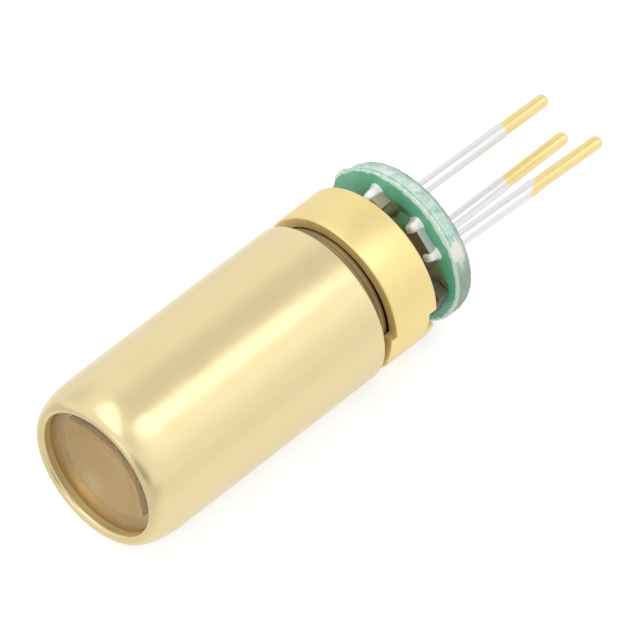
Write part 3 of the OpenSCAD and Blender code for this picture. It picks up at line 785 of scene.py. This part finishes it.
# The feet take the resin as painted shade.
for sign in (-1, 1):
    block(bm, FOOT, FOOT_CORNER, seat @ Matrix.Translation((sign * PROTECTOR[0] / 2, 0, 0)))
protector_tabs = piece("protector_tabs", bm, resin)
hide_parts("protector_feet")


# Floor: a sheet of plain white card that the barrel lies on. In the mirrors of the brass it shows a painted
# pool of light that falls off to both sides of the barrel and in front of the mouth. To the camera it is an
# even white that keeps the shadow.
FLOOR = -3.26
FLOOR_HALF = 900

# White card, matt: a plain pale surface without gloss, with a painted glow: even white for the camera, and a
# painted pool of light for other rays.
card, tree, shader = material("card matt white", Base_Color=linear("#A4A4A4"), Roughness=0.9,
                              Emission_Color=(1, 1, 1, 1))
split = add(tree, "ShaderNodeSeparateXYZ", {0: add(tree, "ShaderNodeTexCoord").outputs["Object"]})
# The painted pool of light is brightest near the barrel and fades to the sides and in front of the mouth.
aside = add(tree, "ShaderNodeMath", {0: split.outputs["X"]}, operation="ABSOLUTE")
aside = add(tree, "ShaderNodeMapRange", {"Value": aside.outputs[0], "From Min": 3 * MM, "From Max": 20 * MM,
                                         "To Min": 0.53, "To Max": 0.4}, interpolation_type="SMOOTHSTEP")
front = add(tree, "ShaderNodeMapRange", {"Value": split.outputs["Y"], "From Min": -11 * MM,
                                         "From Max": -6 * MM, "To Min": 0.5, "To Max": 1})
painted_pool = add(tree, "ShaderNodeMath", {0: aside.outputs[0], 1: front.outputs[0]}, operation="MULTIPLY")
seen = add(tree, "ShaderNodeLightPath").outputs["Is Camera Ray"]
lift = add(tree, "ShaderNodeMix", {"Factor": seen, 2: painted_pool.outputs[0], 3: 0.67})
tree.links.new(lift.outputs[0], shader.inputs["Emission Strength"])

bm = bmesh.new()
bmesh.ops.create_grid(bm, x_segments=1, y_segments=1, size=FLOOR_HALF * MM)
mesh = bpy.data.meshes.new("floor")
bm.to_mesh(mesh)
bm.free()
mesh.materials.append(card)
floor = bpy.data.objects.new("floor", mesh)
floor.location.z = FLOOR * MM
bpy.context.scene.collection.objects.link(floor)


# Light: a white room with a few dimmer and brighter zones for the brass to mirror, and two soft boxes above
# the object. Two fill lamps light the mouth and the board's face from the front and from beside the camera,
# and stay out of the mirrors.
LAMP_AWAY = 2
# Zones: azimuth and elevation, the cosine of the angle at which the zone ends, and how much dimmer its
# middle is. Below zero it is brighter.
ZONES = ((136, 6, 0.82, 0.55), (-15, 64, 0.85, 0.2), (52, 45, 0.8, -0.2),
         (124, 59, 0.93, 0.15), (-82, 17, 0.94, 0.15), (175, 16, 0.94, -0.3))
# Lamps: azimuth and elevation, width and height in metres, and the strength of the lamp's face.
LAMPS = (("box right", 48, 60, (0.9, 0.9), 0.85), ("box left", -130, 73, (2.1, 1.1), 0.8),
         ("fill front", 172, 25, (1.4, 1.4), 1.8), ("fill right", 137, 50, (0.9, 0.9), 4))


def towards(azimuth, elevation):
    """The direction of a place in the room: 0 is straight behind the object, 90 to its right."""
    a, e = radians(azimuth), radians(elevation)
    return Vector((sin(a) * cos(e), cos(a) * cos(e), sin(e)))


room = bpy.data.worlds.new("white room")
bpy.context.scene.world = room
room.use_nodes = True
tree = room.node_tree
way = add(tree, "ShaderNodeTexCoord").outputs["Generated"]
path = add(tree, "ShaderNodeLightPath")
level = 1
for azimuth, elevation, near, depth in ZONES:
    facing = add(tree, "ShaderNodeVectorMath", {0: way, 1: towards(azimuth, elevation)},
                 operation="DOT_PRODUCT")
    dim = add(tree, "ShaderNodeMapRange", {"Value": facing.outputs["Value"], "From Min": near, "From Max": 1,
                                           "To Min": 1, "To Max": 1 - depth},
              interpolation_type="SMOOTHSTEP")
    level = add(tree, "ShaderNodeMath", {0: level, 1: dim.outputs[0]}, operation="MULTIPLY").outputs[0]
seen = add(tree, "ShaderNodeMath", {0: path.outputs["Is Glossy Ray"],
                                    1: path.outputs["Is Transmission Ray"]}, operation="MAXIMUM")
lit = add(tree, "ShaderNodeMix", {"Factor": seen.outputs[0], 2: 1.0, 3: level})
shown = add(tree, "ShaderNodeMath", {0: lit.outputs[0], 1: path.outputs["Is Camera Ray"]},
            operation="MAXIMUM")
sky = tree.nodes["Background"]
sky.inputs["Color"].default_value = (1, 1, 1, 1)
tree.links.new(shown.outputs[0], sky.inputs["Strength"])

for name, azimuth, elevation, size, glow in LAMPS:
    lamp = bpy.data.lights.new(name, "AREA")
    lamp.shape = "ELLIPSE"
    lamp.size, lamp.size_y = size
    lamp.energy = glow * pi * pi * size[0] * size[1] / 4
    box = bpy.data.objects.new(name, lamp)
    box.location = towards(azimuth, elevation) * LAMP_AWAY
    box.rotation_euler = towards(azimuth, elevation).to_track_quat("Z", "Y").to_euler()
    box.visible_camera = False
    box.visible_glossy = name.startswith("box")
    bpy.context.scene.collection.objects.link(box)


# Camera: far off with a long lens, looking down on the mouth from the front right. It was fitted to the
# edges of the barrel, the collar and the board.
# The turn and the look down are in degrees, and the shifts are from a point on the optical axis.
CAMERA_TURN = 43.42
CAMERA_DOWN = 46.75
CAMERA_FROM = (0, -6.4, 0)
CAMERA_RIGHT = 7.86
CAMERA_UP = 5.444
CAMERA_BACK = 376.1
turn, down = radians(CAMERA_TURN), radians(CAMERA_DOWN)
right = Vector((cos(turn), sin(turn), 0))
ahead = Vector((-sin(turn) * cos(down), cos(turn) * cos(down), -sin(down)))
up = right.cross(ahead)
lens = bpy.data.cameras.new("camera")
lens.lens = 603
lens.sensor_width = 36
lens.clip_start = 0.01
lens.clip_end = 10
camera = bpy.data.objects.new("camera", lens)
stand = (Vector(CAMERA_FROM) + right * CAMERA_RIGHT + up * CAMERA_UP - ahead * CAMERA_BACK) * MM
camera.matrix_world = Matrix.Translation(stand) @ Matrix((right, up, -ahead)).transposed().to_4x4()
bpy.context.scene.collection.objects.link(camera)
bpy.context.scene.camera = camera
bpy.context.scene.view_settings.view_transform = "Standard"
